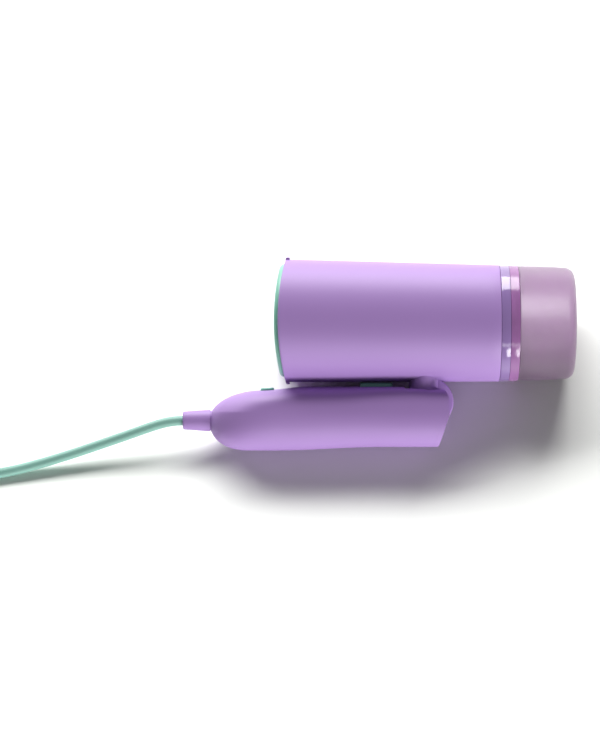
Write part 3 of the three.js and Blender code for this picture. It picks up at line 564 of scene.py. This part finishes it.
def make_collar():
    start = TANK_END - TANK_LENGTH - COLLAR_LENGTH
    end = start + COLLAR_LENGTH - SEAM
    radius = TANK_RADIUS + 0.4
    profile = [(start, 0), (start, radius - 1.2)]
    profile += arc(start + 0.15, radius - 0.15, 0.15, 180, 90, 4)
    profile += arc(end - 0.3, radius - 0.3, 0.3, 90, 0, 4)
    profile += [(end, radius - 2.9), (end + 4, radius - 2.9), (end + 4, radius - 4.9),
                (start + 3, radius - 4.9), (start + 3, 0)]
    bm = spun(profile)
    filler = rod("x", FILLER_RADIUS, start - 4, start + 9, (0, FILLER_OFFSET, 0), 48)
    bm = boolean(bm, filler)
    tip = start - 11.5
    profile = [(tip, DUCT_RADIUS), (tip, 4.2)] + arc(tip + 0.8, 4.2, 0.8, 150, 90, 3)
    profile += [(start + 1, SPIGOT_RADIUS), (start + 1, DUCT_RADIUS)]
    bm = boolean(bm, spun(profile, 64, closed=True), "UNION")
    bm = boolean(bm, rod("x", DUCT_RADIUS, start - 15, start + 9, (0, 0, 0), 48))
    on_head(bm)
    finish_piece("tank_ring", bm, tinted_collar, "tank", ["tank_collar"])


# ---- handle ----

def nose(x, shoulder, power):
    t = min(max((shoulder - x) / (shoulder - NOSE_X), 0), 1)
    return max(1 - t ** power, 0) ** (1 / power)


SHOULDER_TOP = -15.6
SHOULDER_BOTTOM = -24
NOSE_DROP = 2.3
HEEL_DROP = 2.1
RIDGE_Y = -52.5


def handle_top(x):
    front = NOSE_MIDDLE + (GRIP_TOP - NOSE_DROP - NOSE_MIDDLE) * nose(x, SHOULDER_TOP, 2)
    return front + NOSE_DROP * ease(x, SHOULDER_TOP, 13) - 0.9 * ease(x, 67, 92)


def handle_bottom(x):
    front = NOSE_MIDDLE - (NOSE_MIDDLE - GRIP_BOTTOM + HEEL_DROP) * nose(x, SHOULDER_BOTTOM, 2.2)
    return front + HEEL_DROP * ease(x, -7, 55)


def handle_width(x):
    return HANDLE_HALF_WIDTH * nose(x, -5, 2.2)


def ridge(x):
    """Height at which the handle is widest at x."""
    halfway = (handle_top(x) + handle_bottom(x)) / 2
    return halfway + (RIDGE_Y - halfway) * ease(x, NOSE_X + 4, 0)


def squareness(x, upper):
    """The upper half of the section squares up towards the hinge to form its cheeks."""
    if upper:
        return 2.4 + 0.5 * ease(x, -30, 20) + 1.7 * ease(x, 20, 80)
    return 2.2 + 0.2 * ease(x, 20, 80)


CREASE_Y = -53.6         # height of the crease along each side of the nose
CREASE_DEPTH = 0.36      # share of the width lost above the crease


def handle_form(inset, start, end, segments=96, stations=64):
    """The handle's outer form, shrunk by `inset`: a barrel whose sections go from an oval at the
    cord end to a rounded square at the hinge."""
    profile = [(start, 0)]
    profile += [(start + (end - start) * (i / stations) ** 1.6, 1) for i in range(stations + 1)]
    profile += [(end, 0)]
    bm = spun(profile, segments)
    for vert in bm.verts:
        at = max(vert.co.x, NOSE_X + 0.4)
        radius = math.hypot(vert.co.y, vert.co.z)
        c, s = (vert.co.y / radius, vert.co.z / radius) if radius > 1e-6 else (0, 0)
        middle = ridge(at)
        edge = handle_top(at) if c > 0 else handle_bottom(at)
        half = max(abs(edge - middle) - inset, 1)
        wide = max(handle_width(at) - inset, 1)
        power = 2 / squareness(at, c > 0)
        vert.co.y = middle + radius * half * math.copysign(abs(c) ** power, c)
        vert.co.z = radius * wide * math.copysign(abs(s) ** power, s)
    bmesh.ops.bisect_plane(bm, geom=bm.verts[:] + bm.edges[:] + bm.faces[:],
                           plane_co=(0, CREASE_Y, 0), plane_no=(0, 1, 0))
    for vert in bm.verts:
        x, y, z = vert.co
        above = max((y - CREASE_Y) / (GRIP_TOP - CREASE_Y), 0)
        vert.co.z = z * (1 - CREASE_DEPTH * above * (1 - ease(x, -44, -12)))
    return bm


def handle_end():
    """Everything on the handle's side of its slanted, rounded hinge end."""
    slope = math.tan(math.radians(CUT_ANGLE))
    low = GRIP_BOTTOM - 20
    up = -handle_bottom(CUT_X) + PIVOT.y - CHEEK_RADIUS * 0.6
    outline = [(NOSE_X - 20, low), (CUT_X - 20 * slope, low),
               (CUT_X + up * slope, GRIP_BOTTOM + up)]
    outline += arc(PIVOT.x, PIVOT.y, CHEEK_RADIUS, -11.5, 48.7, 16)
    outline += [(PIVOT.x + CHEEK_RADIUS * 0.5, GRIP_TOP + 20), (NOSE_X - 20, GRIP_TOP + 20)]
    return extruded(outline, 50)


SLOT_HALF = NECK_HALF_WIDTH + 0.6


def hinge_slot():
    """The room between the cheeks that the knuckle and neck sweep as the handle opens."""
    radius = KNUCKLE_RADIUS + 0.7
    along = math.radians(90 - FOLD_ANGLE)
    outline = [(PIVOT.x - radius, PIVOT.y + 40)]
    outline += arc(PIVOT.x, PIVOT.y, radius, 180, 360 - FOLD_ANGLE, 16)
    x, y = outline[-1]
    outline += [(x + 60 * math.cos(along), y + 60 * math.sin(along)),
                (PIVOT.x + 60, PIVOT.y + 40)]
    return extruded(outline, SLOT_HALF)


def open_head():
    """The head's outside as it stands against the open handle."""
    bm = spun([(-10, 0), (-10, MOUTH_RADIUS + 0.8), (SHELL_LENGTH, REAR_RADIUS + 0.8),
               (SHELL_LENGTH, 0)])
    on_head(bm)
    turn = Matrix.Rotation(-math.radians(FOLD_ANGLE), 4, "Z")
    bmesh.ops.transform(bm, verts=bm.verts,
                        matrix=Matrix.Translation(PIVOT) @ turn @ Matrix.Translation(-PIVOT))
    return bm


TRIGGER_X = 53
BUTTON_X = -12.4
BOSSES = ((-27, -66), (20, -70), (62, -68.5))
SCREW_SEAT = -12
SCREW_HOLE = 2.9
SPLIT_GAP = 0.12         # half the seam between the two casings


def make_handle():
    body = handle_form(0, NOSE_X, CUT_X + 30)
    body = boolean(body, handle_end(), "INTERSECT")
    cavity_end = PIVOT.x - KNUCKLE_RADIUS - 0.7 - WALL
    body = boolean(body, handle_form(WALL, NOSE_X + 4, cavity_end, 64, 24))
    body = boolean(body, hinge_slot())
    body = boolean(body, open_head())
    body = boolean(body, rod("z", HANDLE_PIN_HOLE, -19, 19, PIVOT, 48))
    body = boolean(body, rod("x", CORD_HOLE, -60, -40, (0, NOSE_MIDDLE, 0), 64))
    window = block((TRIGGER_X - 10.15, GRIP_TOP - 8, -7.9), (TRIGGER_X + 10.15, GRIP_TOP + 8, 7.9))
    body = boolean(body, window)
    top = handle_top(BUTTON_X)
    window = block((BUTTON_X - 4.4, top - 8, -4.8), (BUTTON_X + 4.4, top + 8, 4.8))
    body = boolean(body, window)
    for x, y in BOSSES:
        body = boolean(body, rod("z", SCREW_HOLE, -40, SCREW_SEAT, (x, y, 0)))
    for side, name in ((-1, "left"), (1, "right")):
        half = body.copy()
        bmesh.ops.bisect_plane(half, geom=half.verts[:] + half.edges[:] + half.faces[:],
                               plane_co=(0, 0, side * SPLIT_GAP), plane_no=(0, 0, -side),
                               clear_outer=True)
        finish_piece(f"handle_{name}_casing", half, satin_lavender, "handle",
                     [f"handle_{name}_shell"], sharp=30)
    body.free()


def make_strain_relief():
    outer = NOSE_X - 0.2
    tip = outer - 15.6
    profile = [(tip + 3.4, 0), (tip + 3.4, 3.15), (tip + 0.4, 3.15)]
    profile += arc(tip + 0.5, 3.65, 0.5, 230, 180, 3)
    profile += arc(tip + 1.3, 5.5 - 1.3, 1.3, 180, 95, 6)
    profile += [(tip + 8, 5.95), (outer, 6.5), (NOSE_X + 0.7, 6.55)]
    profile += [(NOSE_X + 0.7, 5.8), (NOSE_X + 6, 5.8), (NOSE_X + 6, 7.4), (NOSE_X + 9, 7.4),
                (NOSE_X + 9, 0)]
    bm = spun(profile, 72)
    bmesh.ops.translate(bm, vec=(0, NOSE_MIDDLE, 0), verts=bm.verts)
    finish_piece("cord_sleeve", bm, satin_lavender, "handle",
                 ["strain_relief"])


def key(name, x, length, width, proud, nodes, body, crown):
    """A press key: a block with rounded edges and a crowned top that follows the grip."""
    top = handle_top(x)
    cap = block((x - length / 2, top - 5, -width / 2), (x + length / 2, top + proud, width / 2))
    bmesh.ops.bevel(cap, geom=[e for e in cap.edges
                               if abs((e.verts[0].co - e.verts[1].co).y) > 1],
                    offset=2.4, offset_type="OFFSET", segments=8, profile=0.5, affect="EDGES",
                    material=-1)
    edges = [e for e in cap.edges if all(v.co.y > top + proud - 0.01 for v in e.verts)]
    bmesh.ops.bevel(cap, geom=edges, offset=0.9, offset_type="OFFSET", segments=5, profile=0.5,
                    affect="EDGES", material=-1)
    for step in range(1, 8):
        place = -width / 2 + width * step / 8
        bmesh.ops.bisect_plane(cap, geom=cap.verts[:] + cap.edges[:] + cap.faces[:],
                               plane_co=(0, 0, place), plane_no=(0, 0, 1))
    slope = (handle_top(x + length / 2) - handle_top(x - length / 2)) / length
    for vert in cap.verts:
        if vert.co.y > top:
            vert.co.y += slope * (vert.co.x - x) - crown * (2 * vert.co.z / width) ** 2
    finish_piece(name, cap, satin_mint, body, nodes)


# ---- cord ----

LEAD = [(-114.3, -38.5, 19.9), (-120, -38.5, 19.8), (-126, -39.1, 19.4), (-133, -40.8, 18.3),
        (-141, -43.2, 16.8), (-150.4, -46.1, 14.6), (-160, -48.9, 12.5), (-170, -51.9, 10.5),
        (-180, -54.9, 8.7), (-190, -57.8, 7.2), (-200, -60.5, 5.7), (-210, -63.1, 4.7),
        (-220, -65.4, 3.8), (-230, -67.3, 3.3), (-238, -68.5, 3.1), (-246, -69.8, 3.1)]
JOIN = (-258, -71.7, 3.6)    # where the lead meets the coil
TAIL = [(-315.8, -11, 13.2), (-315.8, -4, 11.4), (-315.8, 4, 9.6), (-315.8, 12, 8.6)]
COIL = Vector((-276.8, -35.1, 0))
COIL_RADII = (39, 33, 27, 27, 33, 39, 33, 39)
COIL_HEIGHTS = (4.3, 4.3, 4.3, 10.5, 10.5, 10.5, 16.7, 16.7)
COIL_START = -80
COIL_POINTS = 20         # points to a turn
COIL_EXTRA = 80 / 360    # of a turn, past the whole ones


def coil_points():
    """Eight turns laid beside and on each other, from the lead round to the tail."""
    points = []
    turns = len(COIL_RADII) + COIL_EXTRA
    for i in range(1, int(turns * COIL_POINTS) + 1):
        turn = i / COIL_POINTS
        lap = min(int(turn), len(COIL_RADII) - 1)
        change = ease(turn - lap, 0.7, 1) if lap + 1 < len(COIL_RADII) else 0
        after = min(lap + 1, len(COIL_RADII) - 1)
        radius = COIL_RADII[lap] + (COIL_RADII[after] - COIL_RADII[lap]) * change
        height = COIL_HEIGHTS[lap] + (COIL_HEIGHTS[after] - COIL_HEIGHTS[lap]) * change
        angle = math.radians(COIL_START) - math.tau * turn
        points.append((COIL.x + radius * math.cos(angle), COIL.y + radius * math.sin(angle),
                       height))
    return points


def make_cord():
    points = LEAD + [JOIN] + coil_points() + TAIL
    data = bpy.data.curves.new("mains_cord", "CURVE")
    data.dimensions = "3D"
    data.bevel_depth = CORD_DIAMETER / 2 * MM
    data.bevel_resolution = 6
    data.use_fill_caps = True
    data.resolution_u = 4
    spline = data.splines.new("NURBS")
    spline.points.add(len(points) - 1)
    for point, place in zip(spline.points, points):
        point.co = (*(Vector(place) * MM), 1)
    spline.order_u = 4
    spline.use_endpoint_u = True
    data.materials.append(pvc_mint)
    cord = bpy.data.objects.new("mains_cord", data)
    bpy.context.collection.objects.link(cord)
    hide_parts("cord_tube", "cord_coil", "cord_tail")
    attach(cord, "handle")
    return cord


PLUG_X = -315.8
PLUG_START = 12.5        # where the cord enters the plug
PLUG_SLEEVE = 20
PLUG_LENGTH = 30
PLUG_MIDDLE = 8.4        # height of its pins
PLUG_HALF_WIDTH = 17
PLUG_NECK = 7.4          # half width where the grip narrows to its sleeve
PLUG_HALF_THICKNESS = 8
PIN_SPACING = 19
PIN_RADIUS = 2
PIN_LENGTH = 19
TIE_ANGLE = 60           # degrees round the coil
TIE_HALF_WIDTH = 4
TIE_THICKNESS = 0.9
TIE_IN, TIE_OUT = 23.5, 42.1
TIE_LOW, TIE_HIGH = 1.25, 19.8


def at_plug(bm):
    """Turns a piece drawn along x, from the cord end of the plug, into its place."""
    bmesh.ops.transform(bm, verts=bm.verts,
                        matrix=Matrix.Translation((PLUG_X, PLUG_START, PLUG_MIDDLE))
                        @ Matrix.Rotation(math.pi / 2, 4, "Z"))
    return bm


def make_plug():
    """Moulded plug: a flat grip with rounded edges and ribs, and a ringed sleeve on the cord."""
    start = PLUG_SLEEVE
    outline = [(start + PLUG_LENGTH, -PLUG_HALF_WIDTH), (start + PLUG_LENGTH, PLUG_HALF_WIDTH)]
    shoulder = []
    for i in range(15):
        t = i / 14
        y = PLUG_NECK + (PLUG_HALF_WIDTH - PLUG_NECK) * math.cos(t * math.pi / 2) ** 0.8
        shoulder.append((start + PLUG_LENGTH * 0.45 * (1 - t) - 1.5 * t, y))
    outline += shoulder + [(x, -y) for x, y in reversed(shoulder)]
    bm = extruded(outline, PLUG_HALF_THICKNESS)
    bmesh.ops.bevel(bm, geom=[e for e in bm.edges if e.calc_face_angle(0) > 0.8],
                    offset=1.8, offset_type="OFFSET", segments=6, profile=0.5, affect="EDGES",
                    material=-1)
    for side in (-1, 1):
        for i in range(4):
            rib = rod("z", 0.8, -6.5, 6.5, (start + 13 + 3.2 * i,
                                            side * (PLUG_HALF_WIDTH + 0.35), 0), 24)
            bm = boolean(bm, rib)
    sleeve = [(0.6, 0), (0.6, 3.1), (0, 3.6)] + arc(0.8, 3.9, 0.7, 180, 90, 4)
    for i in range(5):
        x = 2.6 + 3.2 * i
        radius = 4.7 + 0.4 * i
        sleeve += [(x, radius), (x + 0.35, radius - 0.9), (x + 1.25, radius - 0.9),
                   (x + 1.6, radius + 0.15)]
    sleeve += [(start - 0.5, 6.6), (start + 4, 6.7), (start + 4, 0)]
    bm = boolean(bm, spun(sleeve, 48), "UNION")
    finish_piece("moulded_plug", at_plug(bm), pvc_mint, "handle", ["plug_body"],
                 matrix=SURFACE)
    end = PLUG_SLEEVE + PLUG_LENGTH
    for number, side in ((1, -1), (2, 1)):
        profile = [(end + 0.05, 0), (end + 0.05, PIN_RADIUS), (end + PIN_LENGTH - 1.6, PIN_RADIUS)]
        profile += arc(end + PIN_LENGTH - 1.6, PIN_RADIUS - 1.4, 1.4, 80, 0, 8)
        profile += [(end + PIN_LENGTH - 0.2, 0)]
        pin = spun(profile, 32)
        bmesh.ops.translate(pin, vec=(0, -side * PIN_SPACING / 2, 0), verts=pin.verts)
        finish_piece(f"round_pin_{number}", at_plug(pin), plated_brass, "handle",
                     [f"plug_pin_{number}"], matrix=SURFACE)


def rounded_box(low, high, corner, steps=6):
    """Closed outline of a rounded rectangle from its low to its high corner."""
    points = []
    for x, y, turn in ((high[0] - corner, high[1] - corner, 0),
                       (low[0] + corner, high[1] - corner, 90),
                       (low[0] + corner, low[1] + corner, 180),
                       (high[0] - corner, low[1] + corner, 270)):
        points += arc(x, y, corner, turn, turn + 90, steps)
    return points


def make_tie():
    """Rubber strap round the coil."""
    thick = TIE_THICKNESS
    outer = rounded_box((TIE_IN - thick, TIE_LOW - thick), (TIE_OUT + thick, TIE_HIGH + thick), 3)
    inner = rounded_box((TIE_IN, TIE_LOW), (TIE_OUT, TIE_HIGH), 2.1)
    bm = boolean(extruded(outer, TIE_HALF_WIDTH), extruded(inner, TIE_HALF_WIDTH + 1))
    bmesh.ops.bevel(bm, geom=[e for e in bm.edges if e.calc_face_angle(0) > 1.2],
                    offset=0.25, offset_type="OFFSET", segments=3, profile=0.5, affect="EDGES",
                    material=-1)
    turn = math.radians(TIE_ANGLE)
    bmesh.ops.transform(bm, verts=bm.verts, matrix=Matrix.Translation((COIL.x, COIL.y, 0))
                        @ Matrix.Rotation(turn, 4, "Z") @ Matrix.Rotation(math.pi / 2, 4, "X"))
    finish_piece("coil_strap", bm, black_rubber, "handle", ["cord_tie"],
                 matrix=SURFACE)


make_camera()
cord = make_cord()
make_head_shell()
make_bezel()
make_steam_plate()
make_trim_band()
make_neck()
make_lights(make_floor(), make_tank())
make_collar()
make_handle()
make_strain_relief()
key("trigger_key", TRIGGER_X, 19.5, 15, 2.3, ["steam_trigger"], "trigger", 0.25)
make_plug()
make_tie()
key("power_key", BUTTON_X, 8.2, 9, 1.5, ["power_button"], "button", 0.15)

CAD_MATERIALS = {
    "dark_plastic": black_nylon, "white_plastic": white_acetal, "steel": zinc_steel,
    "cast_aluminium": cast_aluminium, "silicone": milky_silicone, "black_rubber": black_rubber,
    "circuit_board": solder_mask, "plated_brass": plated_brass, "cord_jacket": pvc_mint,
    "lavender_plastic": satin_lavender, "mint_plastic": satin_mint, "gloss_band": gloss_lavender,
    "collar_tint": tinted_collar, "smoke_tint": smoky_tank}
for subpart in frame["record"]["subparts"]:
    node = frame["nodes"][subpart["node"]]
    material = CAD_MATERIALS[subpart["material_slot"]]
    for place in node.material_slots:
        place.material = material
    if not node.material_slots:
        node.data.materials.append(material)
